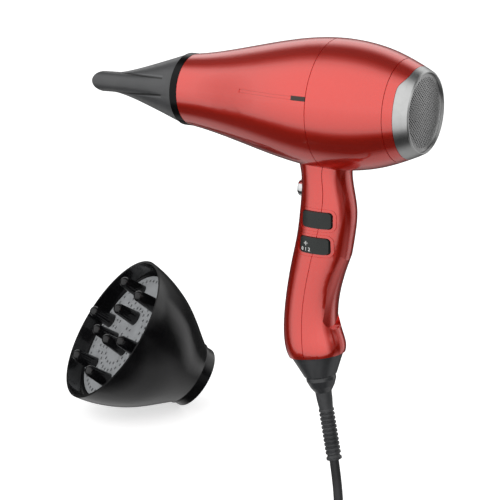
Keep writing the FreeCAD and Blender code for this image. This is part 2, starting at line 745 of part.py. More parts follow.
def fan():
    x0 = FAN_FRONT_X
    x1 = x0 + FAN_LENGTH
    hub = lathe([(x0, SHAFT_R), (x0, FAN_HUB_R), (x1 - 2, FAN_HUB_R), (x1 + 2, FAN_HUB_R / 2), (x1 + 3, 0),
                 (x1, 0), (x1, SHAFT_R)])
    tip = duct_radius() - DUCT_WALL - TIP_GAP
    root = FAN_HUB_R - 1
    half = FAN_LENGTH
    blade = box(-half, half, root, tip + 2, -BLADE_THICKNESS / 2, BLADE_THICKNESS / 2)
    blade.rotate(V(0, 0, 0), V(0, 1, 0), FAN_PITCH)
    blade.translate(V((x0 + x1) / 2, 0, 0))
    blade = blade.common(tube(x0 + 0.5, x1 - 0.5, tip, root))
    return hub.fuse(around(blade, FAN_BLADES))


# ---------------------------------------------------------------- intake

def intake_guard():
    """Fixed finger guard over the fan."""
    x = REAR_SEAM_X + FIT
    return ring_grille(x, bore_radius(x + GUARD_THICKNESS) - FIT, GUARD_THICKNESS)


def spigot_radius():
    return bore_radius(CAP_FRONT_X) - FIT


def intake_trim_ring():
    """Silver ring with a spigot inside the collar and a skirt that laps over it."""
    rim = BARREL_LENGTH
    shoulder_r = barrel_radius(CAP_FRONT_X)
    bore = MESH_R + FIT / 2
    front = CAP_FRONT_X - SPIGOT_LENGTH
    outline = [(front, bore), (front, spigot_radius()), (CAP_FRONT_X, spigot_radius())]
    outline += [(CAP_FRONT_X, shoulder_r)]
    outline += [(rim - 2.0, CAP_RIM_R + 1.0), (rim - 0.7, CAP_RIM_R + 0.3), (rim, CAP_RIM_R - 0.4)]
    outline += [(rim, bore)]
    skirt = skirt_region(0).common(barrel_solid(0)).common(slab(SKIRT_FRONT_X, CAP_FRONT_X + 1))
    return lathe(outline).fuse(skirt).removeSplitter()


def intake_mesh():
    """Domed sheet pressed into the ring, pierced in a regular grid."""
    ball_r = (MESH_R ** 2 + MESH_DOME ** 2) / (2 * MESH_DOME)
    rim_x = BARREL_LENGTH - MESH_THICKNESS - 1
    centre = V(rim_x + MESH_DOME - ball_r, 0, 0)
    dome = Part.makeSphere(ball_r, centre).cut(Part.makeSphere(ball_r - MESH_THICKNESS, centre))
    dome = dome.common(rod(rim_x - MESH_THICKNESS, BARREL_LENGTH + MESH_DOME, MESH_R))
    holes = []
    rows = int(MESH_R / MESH_PITCH)
    for i in range(-rows, rows + 1):
        for j in range(-rows, rows + 1):
            y = i * MESH_PITCH
            z = j * MESH_PITCH
            if math.hypot(y, z) + MESH_HOLE_R < MESH_R - 1:
                start = V(rim_x - MESH_DOME, y, z)
                holes.append(Part.makeCylinder(MESH_HOLE_R, 4 * MESH_DOME, start, V(1, 0, 0)))
    return dome.cut(holes)


def intake_filter():
    """Fine fleece filter inside the ring."""
    return rod(CAP_FRONT_X - 2, CAP_FRONT_X, MESH_R)


# ---------------------------------------------------------------- switches

def rocker_frame(place):
    """Y of the grip's side and of the pivot for a rocker at (x, z)."""
    x, z = place
    side = -grip_side(GRIP_OUTSIDE, x, z)
    return side, side + ROCKER_PIVOT_DEPTH


def rocker(place):
    """Rocker with ends turned about its pivot, rounded corners and a gently arched crown."""
    x, z = place
    side, pivot = rocker_frame(place)
    half = ROCKER_HEIGHT / 2
    drum = Part.makeCylinder(ROCKER_LENGTH / 2, ROCKER_HEIGHT, V(x, pivot, z - half))
    rims = [edge for edge in drum.Edges if isinstance(edge.Curve, Part.Circle)]
    drum = drum.makeFillet(ROCKER_CORNER_R, rims)
    crown = side - ROCKER_PROUD
    reach = ROCKER_LENGTH / 2
    arch_r = (reach ** 2 + ROCKER_CROWN ** 2) / (2 * ROCKER_CROWN)
    arch = Part.makeCylinder(arch_r, ROCKER_HEIGHT, V(x, crown + arch_r, z - half))
    front = box(x - reach, x + reach, crown, pivot + 2 * ROCKER_PIN_R, z - half, z + half)
    hole = Part.makeCylinder(ROCKER_PIN_R + FIT / 2, ROCKER_HEIGHT, V(x, pivot, z - half))
    return drum.common(arch).common(front).cut(hole)


def rocker_pin(place):
    x, z = place
    pivot = rocker_frame(place)[1]
    length = ROCKER_HEIGHT + 2 * FIT + 2 * EAR_THICKNESS
    return Part.makeCylinder(ROCKER_PIN_R, length, V(x, pivot, z - length / 2))


def rocker_switch(place):
    """Switch block with two ears that carry the rocker's pin and lie against the shell."""
    x, z = place
    pivot = rocker_frame(place)[1]
    front = pivot + 2 * ROCKER_PIN_R + 1.4
    half = ROCKER_HEIGHT / 2
    body = box(x - 10, x + 10, front, front + SWITCH_BODY_DEPTH, z - half - 1, z + half + 1)
    pieces = []
    for low in (z - half - FIT - EAR_THICKNESS, z + half + FIT):
        spots = [(edge, low + up) for edge in (x - 3, x + 3) for up in (0, EAR_THICKNESS)]
        reach = min(grip_side(GRIP_INSIDE, edge, height) for edge, height in spots)
        ear = box(x - 3, x + 3, FIT - reach, front + 1, low, low + EAR_THICKNESS)
        pieces.append(ear)
    body = body.fuse(pieces)
    return body.cut(rocker_pin(place))


def button_wall_x():
    return grip_front(GRIP_OUTSIDE, 0, BUTTON_Z)


BUTTON_START_X = button_wall_x() - BUTTON_PROUD


def button_flange_x():
    """Front of the button's flange, clear of the shell's inside all round."""
    radius = BUTTON_R + BUTTON_FLANGE
    places = [polar(radius, 15.0 * i) for i in range(24)]
    return max(grip_front(GRIP_INSIDE, p.y, BUTTON_Z + p.z) for p in places) + FIT


def cold_shot_button():
    """Domed push button with a flange behind the shell and a stem into its spring."""
    x0 = BUTTON_START_X
    flange = button_flange_x()
    dome = 1.2
    outline = [(x0, 0), (x0 + 0.25, BUTTON_R * 0.55), (x0 + dome, BUTTON_R - 0.3), (x0 + 2 * dome, BUTTON_R)]
    outline += [(flange, BUTTON_R), (flange, BUTTON_R + BUTTON_FLANGE), (flange + 1.5, BUTTON_R + BUTTON_FLANGE)]
    outline += [(flange + 1.5, STEM_R), (flange + SPRING_LENGTH - BUTTON_TRAVEL, STEM_R)]
    outline += [(flange + SPRING_LENGTH - BUTTON_TRAVEL, 0)]
    button = lathe(outline)
    button.translate(V(0, 0, BUTTON_Z))
    return button


def cold_shot_spring():
    """Return spring between the button's flange and its switch, drawn as its close-wound hoops."""
    start = button_flange_x() + 1.5
    pitch = (SPRING_LENGTH - 2 * SPRING_WIRE_R) / (SPRING_COILS - 1)
    hoops = []
    for i in range(SPRING_COILS):
        x = start + SPRING_WIRE_R + i * pitch
        hoops.append(Part.makeTorus(SPRING_R, SPRING_WIRE_R, V(x, 0, BUTTON_Z), V(1, 0, 0)))
    spine = box(start, start + SPRING_LENGTH, -SPRING_WIRE_R, SPRING_WIRE_R,
                BUTTON_Z + SPRING_R - SPRING_WIRE_R, BUTTON_Z + SPRING_R + SPRING_WIRE_R)
    return spine.fuse(hoops)


def cold_shot_switch():
    x0 = button_flange_x() + 1.5 + SPRING_LENGTH
    corners = [(x, z) for x in (x0, x0 + BUTTON_SWITCH_DEPTH) for z in (BUTTON_Z - 6, BUTTON_Z + 5)]
    wall = min(grip_side(GRIP_INSIDE, x, z) for x, z in corners) - FIT
    return box(x0, x0 + BUTTON_SWITCH_DEPTH, -wall, 5, BUTTON_Z - 6, BUTTON_Z + 5)


# ---------------------------------------------------------------- swivel

def down_swivel(shape):
    return placed(shape, RIM, DOWN)


def along_swivel(distance):
    return RIM + DOWN * distance


def swivel_socket():
    """Plug inside the grip, then a cone down to the swivel, bored for the swivel's stem."""
    rim = GRIP_SECTIONS[-1]
    top = grip_section(rim, SOCKET_STEP)
    middle = along_swivel(SOCKET_LENGTH)
    back = V(math.cos(math.radians(SWIVEL_TILT)), 0, math.sin(math.radians(SWIVEL_TILT)))
    points = []
    for i in range(SECTION_POINTS):
        angle = 2 * math.pi * i / SECTION_POINTS
        across = V(0, SOCKET_END_R * math.sin(angle), 0)
        points.append(middle + back * (SOCKET_END_R * math.cos(angle)) + across)
    end = Part.BSplineCurve()
    end.interpolate(points, PeriodicFlag=True)
    cone = Part.makeLoft([top, Part.Wire(end.toShape())], True, True)
    reach = down_swivel(rod(-SOCKET_PLUG_LENGTH, 0, 3 * SOCKET_END_R))
    plug = grip_solid(WALL + FIT).common(reach)
    bore = down_swivel(rod(-2 * SOCKET_PLUG_LENGTH, 2 * SOCKET_LENGTH, STEM_BORE_R))
    return cone.fuse(plug).cut(bore)


def swivel_bell():
    """Bell that turns below the socket, with a hollow stem up through it."""
    stem = STEM_BORE_R - FIT / 2
    bore = CORD_R + FIT
    top = -SOCKET_PLUG_LENGTH - CLIP_THICKNESS - 2 * FIT - 2
    face = SOCKET_LENGTH + FIT
    groove0 = -SOCKET_PLUG_LENGTH - FIT - CLIP_THICKNESS
    groove1 = -SOCKET_PLUG_LENGTH - FIT
    outline = [(top, bore), (top, stem), (groove0, stem), (groove0, stem - 1), (groove1, stem - 1)]
    outline += [(groove1, stem), (face, stem), (face, BELL_R - 0.6), (face + 1.2, BELL_R), (face + 3.2, BELL_R)]
    outline += [(face + 0.65 * BELL_LENGTH, 0.82 * BELL_R), (face + BELL_LENGTH, NECK_R)]
    outline += [(face + BELL_LENGTH, bore)]
    return down_swivel(lathe(outline))


def swivel_clip():
    """Retaining ring that snaps into the stem's groove above the socket."""
    inner = STEM_BORE_R - FIT / 2 - 1
    x1 = -SOCKET_PLUG_LENGTH - FIT
    ring = tube(x1 - CLIP_THICKNESS, x1, CLIP_R, inner)
    return down_swivel(ring.cut(box(x1 - 9, x1 + 9, 0, 2 * CLIP_R, -1.5, 1.5)))


def slip_ring_block():
    """Contact block that closes the top of the socket and feeds the leads."""
    x1 = -SOCKET_PLUG_LENGTH
    x0 = x1 - SLIP_BLOCK_LENGTH
    outer = CLIP_R + FIT + 2
    roof = 3
    pocket = CLIP_R + FIT
    outline = [(x0, 0), (x0, outer), (x1, outer), (x1, pocket), (x0 + roof, pocket), (x0 + roof, 0)]
    return down_swivel(lathe(outline))


def strain_relief():
    """Ribbed rubber sleeve below the bell, ending in a small flange."""
    start = SOCKET_LENGTH + FIT + BELL_LENGTH
    bore = CORD_R + FIT
    rib_start = start + 12
    pitch = (SLEEVE_END - 3 - rib_start) / SLEEVE_RIBS
    outline = [(start, bore), (start, NECK_R), (start + 5, NECK_R - 0.2), (rib_start, SLEEVE_R)]
    for i in range(SLEEVE_RIBS):
        x = rib_start + i * pitch
        outline += [(x + 0.2 * pitch, SLEEVE_R + RIB_HEIGHT), (x + 0.6 * pitch, SLEEVE_R + RIB_HEIGHT)]
        outline += [(x + 0.8 * pitch, SLEEVE_R - RIB_HEIGHT), (x + pitch, SLEEVE_R - RIB_HEIGHT)]
    outline += [(SLEEVE_END - 1.6, SLEEVE_R), (SLEEVE_END - 1.2, SLEEVE_FLANGE_R), (SLEEVE_END, SLEEVE_FLANGE_R)]
    outline += [(SLEEVE_END, bore)]
    return down_swivel(lathe(outline))


# ---------------------------------------------------------------- cords

def round_route(points, radius, name):
    """Tube of straight runs and tangent arcs through a list of points."""
    runs = [(b - a).Length for a, b in zip(points, points[1:])]
    edges = []
    start = points[0]
    bends = []
    for i in range(1, len(points) - 1):
        before = (points[i - 1] - points[i]).normalize()
        after = (points[i + 1] - points[i]).normalize()
        turn = math.pi - before.getAngle(after)
        setback = 0.45 * min(runs[i - 1], runs[i])
        bend_r = setback / math.tan(turn / 2)
        bends.append(round(bend_r, 1))
        enter = points[i] + before * setback
        leave = points[i] + after * setback
        inward = (before + after).normalize()
        middle = points[i] + inward * (bend_r / math.cos(turn / 2) - bend_r)
        edges.append(Part.makeLine(start, enter))
        edges.append(Part.Arc(enter, middle, leave).toShape())
        start = leave
    edges.append(Part.makeLine(start, points[-1]))
    path = Part.Wire(edges)
    ring = Part.Wire(Part.makeCircle(radius, points[0], points[1] - points[0]))
    solid = path.makePipeShell([ring], True, False)
    share = solid.Volume / (math.pi * radius ** 2 * path.Length)
    print(name, "length", round(path.Length, 1), "bend radii", bends, "volume share", round(share, 4))
    return solid


def coil_centre():
    last = CORD_REACH[-1]
    return V(last[0] - COIL_MEAN_R - COIL_WIDTH / 2 + CORD_R, last[1], FLOOR_Z)


def cord():
    points = [along_swivel(SLEEVE_END - CORD_HIDDEN), along_swivel(SLEEVE_END + CORD_STRAIGHT)]
    points += [V(x, y, FLOOR_Z + height) for x, y, height in CORD_REACH]
    return round_route(points, CORD_R, "cord")


def cord_coil():
    """Outer shape of the coil that holds the rest of the cord."""
    centre = coil_centre()
    inner = COIL_MEAN_R - COIL_WIDTH / 2
    block = Part.makeCylinder(inner + COIL_WIDTH, COIL_HEIGHT, centre)
    block = block.cut(Part.makeCylinder(inner, COIL_HEIGHT, centre))
    rims = [edge for edge in block.Edges if isinstance(edge.Curve, Part.Circle)]
    return block.makeFillet(COIL_ROUND, rims)


def cord_tie():
    """Band round the coil's bundle at the side away from the plug."""
    centre = coil_centre() + V(0, COIL_MEAN_R, 0)
    half = COIL_WIDTH / 2 + FIT
    outer = half + TIE_THICKNESS
    low = FLOOR_Z
    band = box(centre.x - TIE_WIDTH / 2, centre.x + TIE_WIDTH / 2, centre.y - outer, centre.y + outer,
               low, low + COIL_HEIGHT + FIT + TIE_THICKNESS)
    ring = cord_coil()
    return band.cut(ring).common(band)


def tail_points():
    start = coil_centre() + V(0, -(COIL_MEAN_R + COIL_WIDTH / 2 - CORD_R), COIL_HEIGHT / 2)
    plug_z = FLOOR_Z + PLUG_HEIGHT / 2
    end = V(start.x - TAIL_LENGTH, start.y + 4, plug_z)
    level = V(end.x + TAIL_LENGTH / 3, end.y, plug_z)
    first = V(start.x - TAIL_LENGTH / 3, start.y, start.z)
    return [start, first, level, end]


def cord_tail():
    return round_route(tail_points(), CORD_R, "cord_tail")


def at_plug(shape):
    """Plug pieces are drawn along X from the cord's end and point the way the pins do."""
    return placed(shape, tail_points()[-1], V(-1, 0, 0))


def plug_relief():
    end = PLUG_RELIEF_LENGTH
    outline = [(-4, CORD_R), (-4, CORD_R + 1.2), (end - 4, CORD_R + 4), (end, CORD_R + 5), (end, 0)]
    outline += [(0, 0), (0, CORD_R)]
    return at_plug(lathe(outline))


def plug_body():
    """Flat two-pin plug with rounded shoulders."""
    x0 = PLUG_RELIEF_LENGTH
    block = box(x0, x0 + PLUG_LENGTH, -PLUG_WIDTH / 2, PLUG_WIDTH / 2, -PLUG_HEIGHT / 2, PLUG_HEIGHT / 2)
    long_edges = [edge for edge in block.Edges if abs(edge.BoundBox.XLength - PLUG_LENGTH) < FIT]
    block = block.makeFillet(PLUG_ROUND, long_edges)
    widest = 0.72 * PLUG_WIDTH
    shoulder = x0 + PLUG_SHOULDER
    end = x0 + PLUG_LENGTH
    keep = lathe([(x0, 0), (x0, PLUG_HEIGHT / 2), (shoulder, widest), (end, widest), (end, 0)])
    return at_plug(block.common(keep))


def plug_pins():
    x0 = PLUG_RELIEF_LENGTH + PLUG_LENGTH
    pins = []
    for y in (-PIN_SPACING / 2, PIN_SPACING / 2):
        pin = Part.makeCylinder(PIN_R, PIN_LENGTH - PIN_R, V(x0, y, 0), V(1, 0, 0))
        tip = Part.makeSphere(PIN_R, V(x0 + PIN_LENGTH - PIN_R, y, 0))
        pins.append(pin.fuse(tip).removeSplitter())
    return at_plug(Part.makeCompound(pins))


def wiring_leads():
    """Two leads from the slip-ring block up the grip to the motor's duct."""
    roof = along_swivel(-SOCKET_PLUG_LENGTH - SLIP_BLOCK_LENGTH)
    leads = []
    for i, y in enumerate((6.2, 9.2)):
        points = [V(roof.x - 1.0, y, roof.z + 0.9)]
        for z in LEAD_HEIGHTS:
            points.append(V(grip_centre(z), y, z))
        points.append(V(MID_SEAM_X + 4, y, -math.sqrt((duct_radius() + 1.9) ** 2 - y ** 2)))
        leads.append(round_route(points, LEAD_R, "lead " + str(i + 1)))
    return Part.makeCompound(leads)


# ---------------------------------------------------------------- nozzle

def nozzle_section(along, x, inset):
    """Closed outline at one station: a rounded strip each side and an arched top and bottom."""
    radius = NOZZLE_R - inset
    base_strip = STRIP_HALF_BASE - inset / 3
    base_half = math.sqrt(radius ** 2 - base_strip ** 2)
    strip = base_strip + along * (STRIP_HALF_TIP - inset - base_strip)
    tip_half = NOZZLE_TIP_HALF_WIDTH - STRIP_HALF_TIP
    half = base_half + along * (tip_half - base_half)
    flatness = max(1 - along / NOZZLE_SLOPE_SHARE, 0.0)
    bulge = (radius - base_half) * (1 - along) + (STRIP_HALF_TIP - inset) * along
    steps = 8
    top = []
    for i in range(2 * steps + 1):
        share = (i - steps) / steps
        arch = math.sqrt(radius ** 2 - (base_half * share) ** 2) - base_strip
        top.append(V(x, half * share, strip + arch * flatness))
    bottom = [V(x, p.y, -p.z) for p in reversed(top)]
    right = Part.Arc(top[-1], V(x, half + bulge, 0), bottom[0]).toShape()
    left = Part.Arc(bottom[-1], V(x, -half - bulge, 0), top[0]).toShape()
    return Part.Wire([smooth_curve(top).toShape(), right, smooth_curve(bottom).toShape(), left])


def nozzle_solid(inset, overrun):
    """Cone that slopes straight down to the slot, then the slot's even duct."""
    stations = [NOZZLE_SLOPE_SHARE * i / 5 for i in range(6)] + [1.0]
    sections = []
    for along in stations:
        x = -NOZZLE_LENGTH * along
        if along == 0:
            x += overrun
        if along == 1:
            x -= overrun
        sections.append(nozzle_section(along, x, inset))
    return Part.makeLoft(sections, True, True)


def rounded_tip(inset):
    """Everything behind the nozzle's tip, which is rounded over its whole height."""
    reach = 2 * NOZZLE_R
    centre = STRIP_HALF_TIP - NOZZLE_LENGTH
    body = box(centre, reach, -reach, reach, -reach, reach)
    nose = Part.makeCylinder(STRIP_HALF_TIP - inset, 2 * reach, V(centre, -reach, 0), V(0, 1, 0))
    return body.fuse(nose)


def nozzle():
    outside = nozzle_solid(0, 0).common(rounded_tip(0))
    inside = nozzle_solid(NOZZLE_WALL, 1).common(rounded_tip(NOZZLE_WALL))
    slot = box(-NOZZLE_LENGTH - 1, STRIP_HALF_TIP - NOZZLE_LENGTH, -SLOT_HALF_WIDTH, SLOT_HALF_WIDTH,
               -SLOT_HALF_HEIGHT, SLOT_HALF_HEIGHT)
    shape = outside.cut([inside, slot])
    shape.translate(V(-FIT, 0, 0))
    shape.rotate(V(0, 0, 0), V(1, 0, 0), NOZZLE_TURN)
    return shape


def nozzle_bore(distance):
    """Half height of the nozzle's bore at a distance from its base."""
    ray = Part.makeLine(V(-distance, 0, 0), V(-distance, 0, 2 * NOZZLE_R))
    return ray.common(nozzle_solid(NOZZLE_WALL, 1)).BoundBox.ZMax


def nozzle_clip_ring():
    """Push-in ring that grips the outlet and lets the nozzle turn round it."""
    end = RING_WIDTH - RING_WEB - FIT
    front_r = min(CLIP_RING_R, nozzle_bore(CLIP_RING_FRONT + FIT) - FIT)
    inner = CLIP_RING_R - CLIP_RING_WALL
    return lathe([(-CLIP_RING_FRONT, front_r), (0, CLIP_RING_R), (end, CLIP_RING_R), (end, inner),
                  (-CLIP_RING_FRONT, inner)])


# ---------------------------------------------------------------- diffuser

def diffuser_curve(inset):
    return smooth_curve([V(-t, 0, r - inset) for t, r in reversed(DIFFUSER_PROFILE)])


def diffuser_inner_radius(depth):
    for (t0, r0), (t1, r1) in zip(DIFFUSER_PROFILE, DIFFUSER_PROFILE[1:]):
        if t0 <= depth <= t1:
            return r0 + (r1 - r0) * (depth - t0) / (t1 - t0) - DIFFUSER_WALL
    raise ValueError("depth is outside the bowl")


def diffuser_bowl():
    """Bowl with a ledge round its inside that holds the plate."""
    outside = turned_under(diffuser_curve(0))
    bowl = outside.cut(turned_under(diffuser_curve(DIFFUSER_WALL)))
    depth = PLATE_DEPTH + LEDGE_LENGTH
    ledge = tube(-depth, -PLATE_DEPTH, diffuser_inner_radius(depth) + DIFFUSER_WALL / 2, PLATE_R + FIT)
    return bowl.fuse(ledge)


def collar_bore():
    return RING_R + FIT


def diffuser_collar():
    neck = -DIFFUSER_PROFILE[-1][0]
    outer = collar_bore() + DIFFUSER_COLLAR_WALL
    lip = DIFFUSER_PROFILE[-1][1]
    return lathe([(neck, collar_bore() - 1.5), (neck, lip), (neck - 2, lip), (neck - 2, outer),
                  (neck - DIFFUSER_NECK_LENGTH - 2, outer), (neck - DIFFUSER_NECK_LENGTH - 2, collar_bore()),
                  (neck - 2, collar_bore()), (neck - 2, collar_bore() - 1.5)])


def finger_places():
    places = []
    for i in range(OUTER_FINGERS):
        places.append(polar(OUTER_FINGER_RING_R, OUTER_FINGER_START + 360.0 * i / OUTER_FINGERS))
    for i in range(INNER_FINGERS):
        places.append(polar(INNER_FINGER_RING_R, INNER_FINGER_START + 360.0 * i / INNER_FINGERS))
    return places


def diffuser_plate():
    """Perforated plate that snaps into the bowl's ledge."""
    plate = rod(-PLATE_DEPTH - PLATE_THICKNESS, -PLATE_DEPTH, PLATE_R)
    holes = []
    for ring_r in PLATE_HOLE_RINGS:
        count = int(2 * math.pi * ring_r / PLATE_HOLE_PITCH)
        for i in range(count):
            place = polar(ring_r, 360.0 * i / count)
            clear = min((place - finger).Length for finger in finger_places())
            if clear > FINGER_R + PLATE_HOLE_R + 0.5:
                start = V(-PLATE_DEPTH - 2 * PLATE_THICKNESS, 0, 0) + place
                holes.append(Part.makeCylinder(PLATE_HOLE_R, 3 * PLATE_THICKNESS, start, V(1, 0, 0)))
    return plate.cut(holes)


def diffuser_fingers():
    """Rounded fingers standing on the plate."""
    fingers = []
    for place in finger_places():
        base = V(-PLATE_DEPTH, 0, 0) + place
        body = Part.makeCone(FINGER_R, FINGER_TIP_R, FINGER_LENGTH - FINGER_TIP_R, base, V(1, 0, 0))
        tip = Part.makeSphere(FINGER_TIP_R, base + V(FINGER_LENGTH - FINGER_TIP_R, 0, 0))
        fingers.append(body.fuse(tip))
    return Part.makeCompound(fingers)


def diffuser_pieces():
    """Diffuser pieces laid on the floor, leaning on the bowl and the neck."""
    pieces = {
        "diffuser_bowl": diffuser_bowl(),
        "diffuser_collar": diffuser_collar(),
        "diffuser_plate": diffuser_plate(),
        "diffuser_fingers": diffuser_fingers(),
    }
    laid = {name: placed(shape, DIFFUSER_MOUTH, DIFFUSER_AIM) for name, shape in pieces.items()}
    lowest = min(shape.BoundBox.ZMin for shape in laid.values())
    for shape in laid.values():
        shape.translate(V(0, 0, FLOOR_Z - lowest))
    return laid


def main():
    os.makedirs("parts", exist_ok=True)
    front, rear = housing_halves()
    save("front_housing", front)
    save("rear_housing", rear)
    save("intake_collar", intake_collar())
    save("trim_inset", trim_inset())
    save("outlet_ring", outlet_ring())
    save("outlet_grille", outlet_grille())
    save("heater_tube", heater_tube())
    save("heater_boards", heater_boards())
    save("heater_coil", heater_coil())
    save("thermostat", thermostat())
    save("thermal_fuse", thermal_fuse())
    save("motor_mount", motor_mount())
    save("motor_mount_screws", motor_mount_screws())
    save("motor_can", motor_can())
    save("motor_end_cap", motor_end_cap())
    save("motor_bearings", motor_bearings())
    save("motor_magnets", motor_magnets())
    save("armature", armature())
    save("motor_shaft", motor_shaft())
    save("fan", fan())
    save("intake_guard", intake_guard())
    save("intake_trim_ring", intake_trim_ring())
    save("intake_mesh", intake_mesh())
    save("intake_filter", intake_filter())
    for name, place in (("heat", UPPER_ROCKER), ("speed", LOWER_ROCKER)):
        save(name + "_rocker", rocker(place))
        save(name + "_rocker_pin", rocker_pin(place))
        save(name + "_switch", rocker_switch(place))
    save("cold_shot_button", cold_shot_button())
    save("cold_shot_spring", cold_shot_spring())
    save("cold_shot_switch", cold_shot_switch())
    save("swivel_socket", swivel_socket())
    save("swivel_bell", swivel_bell())
    save("swivel_clip", swivel_clip())
    save("slip_ring_block", slip_ring_block())
    save("strain_relief", strain_relief())
    save("wiring_leads", wiring_leads())
    save("cord", cord())
    save("cord_coil", cord_coil())
    save("cord_tie", cord_tie())
    save("cord_tail", cord_tail())
    save("plug_relief", plug_relief())
    save("plug_body", plug_body())
    save("plug_pins", plug_pins())
    save("nozzle_clip_ring", nozzle_clip_ring())
    save("nozzle", nozzle())
    for name, shape in diffuser_pieces().items():
        save(name, shape)


main()
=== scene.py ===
import math

import bmesh
import bpy
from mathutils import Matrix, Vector


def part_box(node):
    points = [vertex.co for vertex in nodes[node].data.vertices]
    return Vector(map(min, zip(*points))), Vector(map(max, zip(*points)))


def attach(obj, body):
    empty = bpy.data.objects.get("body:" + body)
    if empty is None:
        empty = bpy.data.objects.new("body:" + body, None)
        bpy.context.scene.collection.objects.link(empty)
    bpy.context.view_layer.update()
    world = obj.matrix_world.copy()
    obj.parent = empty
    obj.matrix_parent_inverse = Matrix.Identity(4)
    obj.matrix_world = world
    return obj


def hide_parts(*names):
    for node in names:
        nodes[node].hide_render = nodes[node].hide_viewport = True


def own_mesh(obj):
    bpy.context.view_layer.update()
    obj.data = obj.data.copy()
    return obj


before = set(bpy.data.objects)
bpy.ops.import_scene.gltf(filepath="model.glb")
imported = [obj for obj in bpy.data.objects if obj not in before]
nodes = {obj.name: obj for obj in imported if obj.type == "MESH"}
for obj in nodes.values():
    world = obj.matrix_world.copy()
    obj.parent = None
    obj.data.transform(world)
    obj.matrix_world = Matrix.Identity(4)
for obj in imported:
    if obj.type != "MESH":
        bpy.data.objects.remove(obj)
bpy.context.view_layer.update()

# Camera. It stands a little above the barrel, to the right of the switch side, and looks at the
# point between the dryer and its diffuser.
aim = Vector((-0.05613, 0, -0.00088))
toward_camera = Vector((0.5104, -0.8206, 0.2572)).normalized()
camera_distance = 1.09286
camera = bpy.data.objects.new("camera", bpy.data.cameras.new("camera"))
bpy.context.scene.collection.objects.link(camera)
camera.location = aim + camera_distance * toward_camera
camera.rotation_euler = toward_camera.to_track_quat("Z", "Y").to_euler()
camera.data.lens = 114.01
camera.data.sensor_width = 36
bpy.context.scene.camera = camera

# Mains cord: round rubber flex of 6.6 mm. It hangs out of the strain relief, lies down on the
# table and is coiled in nine and a quarter turns with the plug beside it.
CORD_THICK = 0.0066
COIL_MIDDLE = (-0.0077, -0.115)
POINTS_PER_TURN = 16


def add(tree, kind, sockets=None, **settings):
    """New shader node. A socket takes a value or another node's output."""
    made = tree.nodes.new("ShaderNode" + kind)
    for key, value in settings.items():
        setattr(made, key, value)
    for key, value in (sockets or {}).items():
        if isinstance(value, bpy.types.NodeSocket):
            tree.links.new(value, made.inputs[key])
        else:
            made.inputs[key].default_value = value
    return made


def finish(name, colour, roughness, **more):
    """New material, with its constant values on the shader, its node tree and its shader."""
    material = bpy.data.materials.new(name)
    material.use_nodes = True
    tree = material.node_tree
    shader = tree.nodes["Principled BSDF"]
    shader.inputs["Base Color"].default_value = (*colour, 1)
    shader.inputs["Roughness"].default_value = roughness
    for key, value in more.items():
        shader.inputs[key.replace("_", " ")].default_value = value
    return material, tree, shader


def colours_through(tree, factor, stops):
    """Ramp through (place, colour) stops, where a plain number is a grey."""
    made = add(tree, "ValToRGB", {"Fac": factor})
    elements = made.color_ramp.elements
    elements[0].position, elements[-1].position = stops[0][0], stops[-1][0]
    for place, _ in stops[1:-1]:
        elements.new(place)
    for element, (_, colour) in zip(elements, stops):
        element.color = (*(colour if isinstance(colour, tuple) else 3 * (colour,)), 1)
    return made.outputs["Color"]


NOISE_REACH = (0.3, 0.7)     # nearly all of the noise lies between these


def speckle(tree, pitch_mm, low, high, detail=2.0, stretch=(1, 1, 1)):
    """Noise of a given pitch in the piece's own space, spread between two values or two colours."""
    place = add(tree, "TexCoord").outputs["Object"]
    place = add(tree, "Mapping", {"Vector": place, "Scale": stretch}).outputs["Vector"]
    noise = add(tree, "TexNoise", {"Vector": place, "Scale": 1000 / pitch_mm, "Detail": detail})
    noise = noise.outputs["Fac"]
    if isinstance(low, tuple):
        return colours_through(tree, noise, list(zip(NOISE_REACH, (low, high))))
    spread = {"Value": noise, "From Min": NOISE_REACH[0], "From Max": NOISE_REACH[1],
              "To Min": low, "To Max": high}
    return add(tree, "MapRange", spread).outputs["Result"]


def texture(tree, shader, height, depth_mm, strength=1.0, socket="Normal"):
    """Raises the surface by a height of 0 to 1 over a depth in millimetres."""
    raised = {"Height": height, "Distance": depth_mm / 1000, "Strength": strength}
    tree.links.new(add(tree, "Bump", raised).outputs["Normal"], shader.inputs[socket])


def vary(tree, shader, colour, roughness=None):
    """Gives the shader a colour, and perhaps a roughness, that changes over the surface."""
    tree.links.new(colour, shader.inputs["Base Color"])
    if roughness is not None:
        tree.links.new(roughness, shader.inputs["Roughness"])


def coat_with(material, *names):
    """Gives a finish to CAD nodes."""
    for name in names:
        slots = nodes[name].data.materials
        for i in range(len(slots)):
            slots[i] = material


def rubber(name, colour, roughness=0.5, pitch_mm=0.5):
    """Matt rubber with a fine dusty bloom."""
    material, tree, shader = finish(name, colour, roughness)
    worn = tuple(min(1.0, 1.6 * c + 0.004) for c in colour)
    vary(tree, shader, speckle(tree, 9.0, colour, worn, 4.0),
         speckle(tree, 4.0, roughness - 0.06, roughness + 0.08))
    texture(tree, shader, speckle(tree, pitch_mm, 0.0, 1.0), 0.03)
    return material


